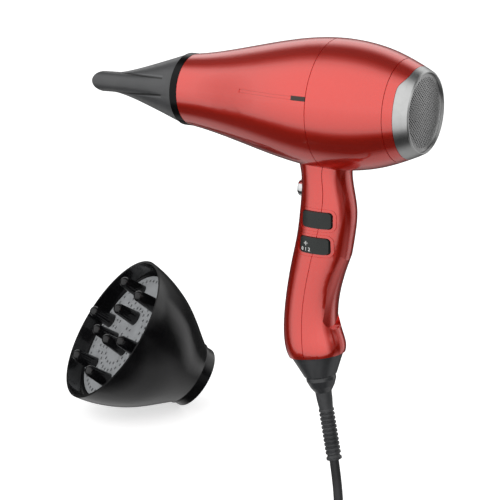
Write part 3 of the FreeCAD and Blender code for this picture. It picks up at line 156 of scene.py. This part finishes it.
# turn number, radius and height of the lay, in millimetres; it steps in, up, out, up and in again,
# then crosses over the top and drops outside
LAY = [(0, 52.7, -195.7), (0.85, 52.7, -195.7), (1, 45.7, -195.7), (1.85, 45.7, -195.7),
       (2, 38.7, -195.7), (2.85, 38.7, -195.7), (3, 31.9, -195.7), (3.65, 31.9, -195.7),
       (3.9, 31.9, -188.9), (4.4, 31.9, -188.9), (4.6, 38.7, -188.9), (5.4, 38.7, -188.9),
       (5.6, 45.7, -188.9), (6.1, 45.7, -188.9), (6.35, 45.7, -182.1), (6.85, 45.7, -182.1),
       (7.05, 38.7, -182.1), (7.85, 38.7, -182.1), (8.05, 31.9, -182.1), (8.72, 31.9, -182.1),
       (8.87, 33.5, -175.2), (9.05, 47.0, -174.8), (9.15, 54.5, -178.0), (9.25, 53.5, -188.5)]
cord_points = [(7.45, 0, -114.70), (14.89, 0, -152.98), (22, -9, -180), (30.5, -33, -195.7),
               (41, -70, -195.7), (45, -115, -195.7)]
for step in range(1, int(LAY[-1][0] * POINTS_PER_TURN) + 1):
    turn = step / POINTS_PER_TURN
    for (t0, r0, z0), (t1, r1, z1) in zip(LAY, LAY[1:]):
        if t0 < turn <= t1:
            share = (turn - t0) / (t1 - t0)
            # the spline runs inside its points, so they stand out by this much
            radius = (r0 + share * (r1 - r0)) / math.cos(math.pi / POINTS_PER_TURN)
            height = z0 + share * (z1 - z0)
    angle = -2 * math.pi * turn
    cord_points.append((1000 * COIL_MIDDLE[0] + radius * math.cos(angle),
                        1000 * COIL_MIDDLE[1] + radius * math.sin(angle), height))
cord_points += [(-35.7, -167.7, -188.5), (-63.7, -163.7, -186), (-91.7, -163.7, -186)]

cord_line = bpy.data.curves.new("mains_cord", "CURVE")
cord_line.dimensions = "3D"
cord_spline = cord_line.splines.new("NURBS")
cord_spline.points.add(len(cord_points) - 1)
for point, (x, y, z) in zip(cord_spline.points, cord_points):
    point.co = (x / 1000, y / 1000, z / 1000, 1)
cord_spline.order_u = 3
cord_spline.use_endpoint_u = True
cord_spline.resolution_u = 8
cord_line.bevel_depth = CORD_THICK / 2
cord_line.bevel_resolution = 5
cord_line.use_fill_caps = True
mains_cord = bpy.data.objects.new("mains_cord", cord_line)
bpy.context.scene.collection.objects.link(mains_cord)
cord_rubber = rubber("cord_rubber", (0.016, 0.016, 0.017), 0.48)
cord_line.materials.append(cord_rubber)
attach(mains_cord, "housing")
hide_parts("cord", "cord_coil", "cord_tail")

# Cord tie: a strap of woven nylon with hook-and-loop faces, wrapped once round the bundle to
# hold the coil.
tie_material, tree, shader = finish("tie_webbing", (0.02, 0.02, 0.022), 0.8)
vary(tree, shader, speckle(tree, 0.6, (0.012, 0.012, 0.013), (0.05, 0.05, 0.052)))
texture(tree, shader, speckle(tree, 0.6, 0.0, 1.0, 0.0, (1, 3, 3)), 0.15)
coat_with(tie_material, "cord_tie")

# Plug: a rubber body and relief moulded on the cord's end, round two nickel-plated brass pins
# with rounded tips.
coat_with(rubber("plug_rubber", (0.014, 0.014, 0.015), 0.42), "plug_relief", "plug_body")


def metal(name, colour, roughness, pitch_mm=0.4, stretch=(1, 1, 1), depth_mm=0.01):
    """Bare metal with fine tool marks or grain."""
    material, tree, shader = finish(name, colour, roughness, Metallic=1.0)
    dull = tuple(0.86 * c for c in colour)
    vary(tree, shader, speckle(tree, 5 * pitch_mm, dull, colour, 3.0, stretch),
         speckle(tree, pitch_mm, max(0.03, roughness - 0.05), roughness + 0.06, 2.0, stretch))
    texture(tree, shader, speckle(tree, pitch_mm, 0.0, 1.0, 2.0, stretch), depth_mm)
    return material


coat_with(metal("nickel_plate", (0.66, 0.64, 0.60), 0.2, 0.3, (0.2, 1, 1)), "plug_pins")

# Table top: a plain white sheet, wide enough to fill every view. It glows just enough to be white
# where nothing shades it, and it keeps the shadows. Glossy surfaces see the studio in its place.
TABLE_TOP = -0.199
TABLE_REACH = 8.0
TABLE_GLOW = 0.62


def combined(tree, first, second, operation):
    """One value worked out from two."""
    return add(tree, "Math", {0: first, 1: second}, operation=operation).outputs["Value"]


floor_mesh = bpy.data.meshes.new("floor")
table_corners = [(x * TABLE_REACH, y * TABLE_REACH, TABLE_TOP)
                 for x, y in ((-1, -1), (1, -1), (1, 1), (-1, 1))]
floor_mesh.from_pydata(table_corners, [], [(0, 1, 2, 3)])
floor = bpy.data.objects.new("floor", floor_mesh)
bpy.context.scene.collection.objects.link(floor)
floor_material = bpy.data.materials.new("white_sheet")
floor_material.use_nodes = True
tree = floor_material.node_tree
tree.nodes.clear()
path = add(tree, "LightPath").outputs
seen = combined(tree, path["Is Camera Ray"], path["Is Glossy Ray"], "MAXIMUM")
seen = combined(tree, seen, path["Is Transmission Ray"], "MAXIMUM")
glow = combined(tree, seen, TABLE_GLOW, "MULTIPLY")
lit = add(tree, "BsdfDiffuse", {"Color": (0.8, 0.8, 0.8, 1)})
shine = add(tree, "Emission", {"Color": (1, 1, 1, 1), "Strength": glow})
both = add(tree, "AddShader", {0: lit.outputs[0], 1: shine.outputs[0]})
tree.links.new(both.outputs[0], add(tree, "OutputMaterial").inputs["Surface"])
floor_mesh.materials.append(floor_material)
floor.visible_glossy = False

# Studio: a white room and one broad soft box at the front left. Glossy surfaces see two long soft
# boxes overhead with a dark gap between them, dark strips below the table's front and back, dark
# walls on the far left and low on the right, and a pale screen behind on the right.
ROOM_LIGHT = 0.78
world = bpy.data.worlds.new("studio")
bpy.context.scene.world = world
world.use_nodes = True
tree = world.node_tree
tree.nodes.clear()
path = add(tree, "LightPath").outputs
direction = add(tree, "SeparateXYZ", {0: add(tree, "TexCoord").outputs["Generated"]}).outputs


def slope(axis, start, stop, low, high):
    """Level that runs from low to high as the direction goes from start to stop along an axis."""
    return add(tree, "MapRange", {"Value": direction[axis], "From Min": start, "From Max": stop,
                                  "To Min": low, "To Max": high}).outputs["Result"]


# light at each bearing, in degrees up from the back: -180 and 180 are the front, -90 straight down
LEVELS = [(-180, 0.95), (-161, 0.85), (-150, 0.8), (-142, 0.7), (-136, 0.12), (-130, 0.02),
          (-100, 0.03), (-84, 0.4), (-55, 0.42), (-35, 0.1), (-20, 0.03), (0, 0.03), (14, 0.2),
          (23, 0.9), (41, 0.9), (52, 0.25), (59, 0.05), (79, 0.08), (88, 0.3), (97, 0.8),
          (108, 1.0), (180, 1.0)]
bearing = combined(tree, direction["Z"], direction["Y"], "ARCTAN2")
bearing = add(tree, "MapRange", {"Value": bearing, "From Min": -math.pi, "From Max": math.pi})
boxes = colours_through(tree, bearing.outputs["Result"],
                        [((degrees + 180) / 360, level) for degrees, level in LEVELS])
right_wall = slope("X", 0.72, 0.92, 1.0, 0.16)
over_the_wall = slope("Z", 0.1, 0.4, 0.0, 1.0)
left_wall = slope("X", -0.97, -0.8, 0.05, 1.05)
walls = combined(tree, combined(tree, right_wall, over_the_wall, "MAXIMUM"), left_wall, "MULTIPLY")
screen = slope("X", 0.25, 0.45, 0.0, 0.75)
screen = combined(tree, screen, slope("Y", 0.6, 0.82, 0.0, 1.0), "MULTIPLY")
mirrored_level = combined(tree, combined(tree, boxes, walls, "MULTIPLY"), screen, "MAXIMUM")
# the room is plain white to the eye
room_level = {"Value": path["Is Camera Ray"], "To Min": ROOM_LIGHT, "To Max": 1.0}
room_level = add(tree, "MapRange", room_level).outputs["Result"]
room = add(tree, "Background", {"Color": (1, 1, 1, 1), "Strength": room_level})
mirrored = add(tree, "Background", {"Color": (1, 1, 1, 1), "Strength": mirrored_level})
sky = add(tree, "MixShader", {0: path["Is Glossy Ray"], 1: room.outputs[0], 2: mirrored.outputs[0]})
tree.links.new(sky.outputs[0], add(tree, "OutputWorld").inputs["Surface"])

lamp = bpy.data.lights.new("front_soft_box", "AREA")
lamp.shape = "RECTANGLE"
lamp.size, lamp.size_y = 1.7, 1.1
lamp.energy = 12.0
soft_box = bpy.data.objects.new("front_soft_box", lamp)
bpy.context.scene.collection.objects.link(soft_box)
soft_box.location = (-0.9, -1.35, 1.1)
soft_box.rotation_euler = (soft_box.location - aim).to_track_quat("Z", "Y").to_euler()
soft_box.visible_glossy = False

# Barrel and grip: two moulded nylon shells and a collar, sprayed in metallic candy red under a
# thick clear lacquer. They meet in fine seams round the barrel and down the grip.
red_lacquer, tree, shader = finish("red_lacquer", (0.80, 0.024, 0.009), 0.30, Metallic=0.78,
                                   Coat_Weight=1.0, Coat_Roughness=0.05, Coat_IOR=2.0)
flakes = speckle(tree, 0.25, (0.75, 0.019, 0.007), (0.85, 0.030, 0.011), 1.0)
vary(tree, shader, flakes, speckle(tree, 0.3, 0.27, 0.34))
texture(tree, shader, speckle(tree, 3.0, 0.0, 1.0, 1.0), 0.004, 0.5, "Coat Normal")
coat_with(red_lacquer, "front_housing", "rear_housing", "intake_collar")

# Trim inset: a thin strip of dark moulded plastic, pressed into a pocket of the front shell just
# ahead of the middle seam.


def plastic(name, colour, roughness, pitch_mm=0.35, depth_mm=0.02, **more):
    """Moulded plastic with a fine spark-eroded grain."""
    material, tree, shader = finish(name, colour, roughness, **more)
    pale = tuple(min(1.0, 1.25 * c + 0.002) for c in colour)
    vary(tree, shader, speckle(tree, 12.0, colour, pale, 5.0),
         speckle(tree, 3.0, roughness - 0.03, roughness + 0.05))
    texture(tree, shader, speckle(tree, pitch_mm, 0.0, 1.0), depth_mm)
    return material


coat_with(plastic("trim_plastic", (0.035, 0.022, 0.016), 0.35), "trim_inset")

# Outlet: a glossy ring snapped into the barrel's mouth, which the nozzle pushes on, and behind it
# a grille moulded in heat-proof plastic. The finger guard at the intake is moulded in the same.
ring_gloss = plastic("ring_gloss", (0.002, 0.002, 0.002), 0.18, 1.5, 0.003, Specular_IOR_Level=0.18)
coat_with(ring_gloss, "outlet_ring")
heat_black = plastic("heat_black", (0.02, 0.02, 0.021), 0.55)
coat_with(heat_black, "outlet_grille", "intake_guard")

# Heater: resistance wire wound on crossed mica boards inside a rolled mica tube, with a
# bimetal thermostat and a thermal fuse.
mica, tree, shader = finish("mica", (0.52, 0.46, 0.34), 0.35)
vary(tree, shader, speckle(tree, 2.2, (0.36, 0.29, 0.18), (0.66, 0.60, 0.47), 6.0),
     speckle(tree, 0.8, 0.22, 0.5))
texture(tree, shader, speckle(tree, 1.2, 0.0, 1.0, 4.0), 0.05)
coat_with(mica, "heater_tube", "heater_boards")
coat_with(metal("heater_wire", (0.30, 0.26, 0.23), 0.38, 0.5), "heater_coil")
coat_with(metal("thermostat_brass", (0.70, 0.52, 0.28), 0.3), "thermostat")
coat_with(metal("fuse_tin", (0.62, 0.62, 0.64), 0.26), "thermal_fuse")

# Motor: a drawn steel can in a nylon duct, held by four plated screws, with a moulded end cap,
# sintered bronze bearings, ferrite magnets and a laminated armature.
duct_nylon = plastic("duct_nylon", (0.055, 0.057, 0.062), 0.5, 0.5, 0.04)
coat_with(duct_nylon, "motor_mount")
zinc = metal("zinc_plate", (0.60, 0.60, 0.62), 0.28, 0.5, (0.15, 1, 1))
coat_with(zinc, "motor_mount_screws", "motor_can", "heat_rocker_pin", "speed_rocker_pin",
          "swivel_clip")
coat_with(plastic("brush_holder", (0.62, 0.58, 0.48), 0.5), "motor_end_cap")
coat_with(metal("sintered_bronze", (0.50, 0.34, 0.16), 0.45, 0.2, depth_mm=0.05), "motor_bearings")
coat_with(rubber("ferrite", (0.03, 0.03, 0.032), 0.55, 0.3), "motor_magnets")
laminations, tree, shader = finish("laminations", (0.30, 0.29, 0.28), 0.4, Metallic=0.9)
sheets = {"Vector": add(tree, "TexCoord").outputs["Object"], "Scale": 320, "Distortion": 0.1}
sheets = add(tree, "TexWave", sheets, bands_direction="X").outputs["Fac"]
edges = colours_through(tree, sheets, [(0, (0.10, 0.09, 0.08)), (1, (0.36, 0.35, 0.34))])
vary(tree, shader, edges)
texture(tree, shader, sheets, 0.1)
coat_with(laminations, "armature")
coat_with(metal("ground_steel", (0.66, 0.66, 0.67), 0.16, 0.3, (0.1, 1, 1)), "motor_shaft")

# Fan: a hub with nine blades, moulded in one piece of glass-filled nylon and pressed on the
# motor's shaft.
coat_with(plastic("fan_nylon", (0.10, 0.10, 0.105), 0.42, 0.25, 0.03), "fan")

# Intake cap: a satin silver ring with a skirt over the collar, which holds a fine domed sheet
# and a fleece filter. It pulls off to the back for cleaning.
silver, tree, shader = finish("satin_silver", (0.60, 0.605, 0.60), 0.3, Metallic=1.0)
vary(tree, shader, speckle(tree, 6.0, (0.58, 0.585, 0.58), (0.64, 0.645, 0.64)),
     speckle(tree, 0.5, 0.28, 0.33))
texture(tree, shader, speckle(tree, 0.35, 0.0, 1.0), 0.002)
coat_with(silver, "intake_trim_ring")

# the pierced sheet: square holes set at 45 degrees, and a plain rim rolled over the outer ones
SHEET_PITCH = 0.00160
SHEET_HOLE = 0.00098
SHEET_RADIUS = 0.0252
SHEET_DOME = 0.0026
SHEET_GAUGE = 0.0004
SHEET_SET_BACK = 0.0003
RIM_WIDTH = 1.7 * SHEET_PITCH
RIM_LIFT = 0.00003
RIM_STEPS = 96
low_corner, high_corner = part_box("intake_mesh")
sheet_mesh = bmesh.new()
crown_x = high_corner.x - SHEET_SET_BACK
middle_z = (low_corner.z + high_corner.z) / 2


def on_dome(y, z, lift=0.0):
    """Point of the domed sheet, y and z from its middle."""
    drop = SHEET_DOME * (y * y + z * z) / SHEET_RADIUS ** 2
    return sheet_mesh.verts.new((crown_x - drop + lift, y, middle_z + z))


cells = int(SHEET_RADIUS / SHEET_PITCH) + 1
for i in range(-cells, cells + 1):
    for j in range(-cells, cells + 1):
        u, v = i * SHEET_PITCH, j * SHEET_PITCH
        if math.hypot(u, v) > SHEET_RADIUS - SHEET_PITCH:
            continue
        squares = []
        for half in (SHEET_PITCH / 2, SHEET_HOLE / 2):
            square = [(u + a * half, v + b * half) for a, b in ((-1, -1), (1, -1), (1, 1), (-1, 1))]
            squares.append([on_dome((a - b) * math.sqrt(0.5), (a + b) * math.sqrt(0.5))
                            for a, b in square])
        outer, inner = squares
        for k in range(4):
            sheet_mesh.faces.new([outer[k], outer[(k + 1) % 4], inner[(k + 1) % 4], inner[k]])
rim = []
for k in range(RIM_STEPS):
    angle = 2 * math.pi * k / RIM_STEPS
    rim.append([on_dome(r * math.cos(angle), r * math.sin(angle), RIM_LIFT)
                for r in (SHEET_RADIUS - RIM_WIDTH, SHEET_RADIUS)])
for here, after in zip(rim, rim[1:] + rim[:1]):
    sheet_mesh.faces.new([here[0], here[1], after[1], after[0]])
bmesh.ops.remove_doubles(sheet_mesh, verts=sheet_mesh.verts[:], dist=0.00001)
bmesh.ops.recalc_face_normals(sheet_mesh, faces=sheet_mesh.faces[:])
sheet_data = bpy.data.meshes.new("pierced_sheet")
sheet_mesh.to_mesh(sheet_data)
sheet_mesh.free()
pierced_sheet = bpy.data.objects.new("pierced_sheet", sheet_data)
bpy.context.scene.collection.objects.link(pierced_sheet)
thick = pierced_sheet.modifiers.new("gauge", "SOLIDIFY")
thick.thickness = SHEET_GAUGE
thick.offset = 0
sheet_data.materials.append(metal("pierced_steel", (0.62, 0.62, 0.62), 0.36, 0.3))
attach(pierced_sheet, "filter_cap")
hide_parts("intake_mesh")

fleece, tree, shader = finish("filter_fleece", (0.05, 0.05, 0.052), 0.95)
vary(tree, shader, speckle(tree, 0.4, (0.02, 0.02, 0.021), (0.09, 0.09, 0.093), 5.0))
texture(tree, shader, speckle(tree, 0.3, 0.0, 1.0, 5.0), 0.4)
coat_with(fleece, "intake_filter")

# Rockers: two rockers moulded in satin plastic on plated steel pins, with their switch blocks
# behind the shell. The lower one sets the air flow and carries a fan mark and its settings.
rocker_plastic = plastic("rocker_plastic", (0.010, 0.013, 0.012), 0.28, 0.4, 0.012)
coat_with(rocker_plastic, "heat_rocker", "speed_rocker")
switch_black = plastic("switch_black", (0.018, 0.018, 0.019), 0.45)
coat_with(switch_black, "heat_switch", "speed_switch", "cold_shot_switch")

CROWN_RADIUS = 0.02842
MARK_SIZE = 0.0034
MARK_DEPTH = 0.00006
MARK_LIFT = 0.00002
MARK_BOLD = 0.00004
FIGURES_ACROSS = {"0": -0.0086, "1": -0.0058, "2": -0.0030}
FIGURES_UP = -0.0030
FAN_UP = 0.0011
HUB_RADIUS = 0.0004
PETAL_LENGTH = 0.0012
PETAL_FULLNESS = 0.7
OUTLINE_STEPS = 96
low_corner, high_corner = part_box("speed_rocker")
rocker_middle = (low_corner + high_corner) / 2
mark_ink = plastic("mark_ink", (0.75, 0.76, 0.75), 0.5, 0.4, 0.004)


def on_crown(piece, across, up):
    """Lays a flat mark on the lower rocker's arched face."""
    lean = math.asin(across / CROWN_RADIUS)
    crown = low_corner.y + CROWN_RADIUS
    piece.location = (rocker_middle.x + across, crown - (CROWN_RADIUS + MARK_LIFT) * math.cos(lean),
                      rocker_middle.z + up)
    piece.rotation_euler = (math.pi / 2, 0, lean)
    bpy.context.scene.collection.objects.link(piece)
    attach(piece, "speed_rocker")


for figure, across in FIGURES_ACROSS.items():
    letter = bpy.data.curves.new("mark_" + figure, "FONT")
    letter.body = figure
    letter.size = MARK_SIZE
    letter.extrude = MARK_DEPTH / 2
    letter.align_x = letter.align_y = "CENTER"
    letter.offset = MARK_BOLD
    letter.materials.append(mark_ink)
    on_crown(bpy.data.objects.new("mark_" + figure, letter), across, FIGURES_UP)
petals = bmesh.new()
outline = []
for k in range(OUTLINE_STEPS):
    angle = 2 * math.pi * k / OUTLINE_STEPS
    r = HUB_RADIUS + PETAL_LENGTH * abs(math.cos(2 * angle)) ** PETAL_FULLNESS
    outline.append(petals.verts.new((r * math.cos(angle), r * math.sin(angle), 0)))
petals.faces.new(outline)
bmesh.ops.solidify(petals, geom=petals.faces[:], thickness=MARK_DEPTH)
fan_mark = bpy.data.meshes.new("mark_fan")
petals.to_mesh(fan_mark)
petals.free()
fan_mark.materials.append(mark_ink)
on_crown(bpy.data.objects.new("mark_fan", fan_mark), FIGURES_ACROSS["1"], FAN_UP)

# Cold-shot button: a chrome push button over a return spring and its switch. On the real dryer the
# spring shortens towards the switch by the button's travel; here its box is read and it gets its
# own mesh.
coat_with(metal("button_chrome", (0.86, 0.87, 0.88), 0.08, 2.0, depth_mm=0.002), "cold_shot_button")
coat_with(metal("spring_steel", (0.55, 0.55, 0.56), 0.25), "cold_shot_spring")
low_corner, high_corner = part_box("cold_shot_spring")
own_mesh(nodes["cold_shot_spring"])

# Cord swivel: a faceted socket plugged into the grip's foot, a bell that turns below it and
# the ribbed sleeve moulded on the cord. A contact block inside feeds the two leads.
socket_plastic = plastic("socket_plastic", (0.026, 0.027, 0.029), 0.32, Coat_Weight=0.6,
                         Coat_Roughness=0.22)
coat_with(socket_plastic, "swivel_socket", "swivel_bell")
coat_with(plastic("contact_block", (0.10, 0.095, 0.085), 0.5), "slip_ring_block")
coat_with(rubber("sleeve_rubber", (0.034, 0.035, 0.037), 0.38, 0.35), "strain_relief")
BETWEEN_LEADS = 0.0077     # one lead runs on each side of this, brown and blue
leads, tree, shader = finish("lead_insulation", (0.1, 0.05, 0.03), 0.45)
side = add(tree, "SeparateXYZ", {0: add(tree, "TexCoord").outputs["Object"]}).outputs["Y"]
which = add(tree, "Math", {0: side, 1: BETWEEN_LEADS}, operation="GREATER_THAN").outputs[0]
paints = colours_through(tree, which, [(0, (0.10, 0.035, 0.015)), (1, (0.02, 0.07, 0.30))])
vary(tree, shader, paints)
texture(tree, shader, speckle(tree, 0.6, 0.0, 1.0), 0.03)
coat_with(leads, "wiring_leads")

# Concentrator nozzle: satin glass-filled nylon on a glossy push-in ring. A fine crease with a
# raised bead runs along both edges of each side strip, painted into the colour as painted shade in
# the crease and a painted highlight on the bead.
coat_with(ring_gloss, "nozzle_clip_ring")
NOZZLE_BASE = (-0.105, 0, 0.107)
NOZZLE_LENGTH = 0.0655
NOZZLE_LEAN = math.radians(9.5)
STRIP_HALF_HEIGHT = (0.0055, 0.0072)     # at the base and at the tip
STRIP_HALF_WIDTH = (0.0229, 0.0165)
CREASE_START = 0.12                      # share of the length that stays plain
CREASE_REACH = (-0.0010, 0.0022)         # from inside the strip's edge to past the bead
# levels across the crease: painted shade in the groove, a painted highlight on the bead, 0.5 plain
CREASE_SHADE_AND_HIGHLIGHT_LEVELS = [(0.05, 0.5), (0.20, 0.0), (0.46, 0.0), (0.62, 0.9), (0.80, 0.8), (1.0, 0.5)]
PAINTED_SHADE_AND_HIGHLIGHT_RANGE = (0.02, 1.98)
nozzle_nylon, tree, shader = finish("nozzle_nylon", (0.052, 0.053, 0.055), 0.40, Coat_Weight=0.5,
                                    Coat_Roughness=0.3)
place = add(tree, "TexCoord").outputs["Object"]
place = add(tree, "VectorMath", {0: place, 1: NOZZLE_BASE}, operation="SUBTRACT").outputs[0]
place = add(tree, "VectorRotate", {"Vector": place, "Axis": (1, 0, 0), "Angle": NOZZLE_LEAN})
place = add(tree, "SeparateXYZ", {0: place.outputs[0]}).outputs
along = combined(tree, place["X"], -1 / NOZZLE_LENGTH, "MULTIPLY")
edge, width = (add(tree, "MapRange", {"Value": along, "To Min": base, "To Max": tip}, clamp=False)
               for base, tip in (STRIP_HALF_HEIGHT, STRIP_HALF_WIDTH))
up, out = (add(tree, "Math", {0: place[axis]}, operation="ABSOLUTE").outputs[0] for axis in "ZY")
off = combined(tree, up, edge.outputs[0], "SUBTRACT")
on_side = combined(tree, out, width.outputs[0], "GREATER_THAN")
past_base = combined(tree, along, CREASE_START, "GREATER_THAN")
where = combined(tree, on_side, past_base, "MULTIPLY")
profile = add(tree, "MapRange", {"Value": off, "From Min": CREASE_REACH[0],
                                 "From Max": CREASE_REACH[1]})
# painted shade and painted highlight along the strip edges, which scale the nylon's colour
crease_shade_and_highlight = colours_through(tree, profile.outputs[0], CREASE_SHADE_AND_HIGHLIGHT_LEVELS)
painted_crease_mark = add(tree, "Mix", {0: where, 2: 0.5, 3: crease_shade_and_highlight}, data_type="FLOAT").outputs[0]
painted_light = add(tree, "MapRange", {"Value": painted_crease_mark, "To Min": PAINTED_SHADE_AND_HIGHLIGHT_RANGE[0],
                               "To Max": PAINTED_SHADE_AND_HIGHLIGHT_RANGE[1]})
grain = speckle(tree, 14.0, (0.047, 0.048, 0.050), (0.058, 0.059, 0.061), 5.0)
grain_with_painted_crease = add(tree, "VectorMath", {0: grain, "Scale": painted_light.outputs[0]}, operation="SCALE").outputs[0]
vary(tree, shader, grain_with_painted_crease, speckle(tree, 3.0, 0.38, 0.47))
texture(tree, shader, speckle(tree, 0.35, 0.0, 1.0), 0.02)
coat_with(nozzle_nylon, "nozzle")

# Diffuser: a bowl and collar moulded in glossy black plastic. A pierced plate in a satin grey
# snaps into the bowl, and the nine rounded fingers that lift the hair stand on it.
black_gloss = plastic("black_gloss", (0.003, 0.003, 0.0035), 0.2, 1.5, 0.004, Coat_Weight=0.7,
                      Coat_Roughness=0.06, Specular_IOR_Level=0.2)
coat_with(black_gloss, "diffuser_bowl", "diffuser_collar", "diffuser_fingers")
coat_with(plastic("plate_grey", (0.30, 0.31, 0.32), 0.4, 0.3, 0.03), "diffuser_plate")

# Plain view transform, so the colours render as they are set.
bpy.context.scene.view_settings.view_transform = "Standard"
bpy.context.view_layer.update()
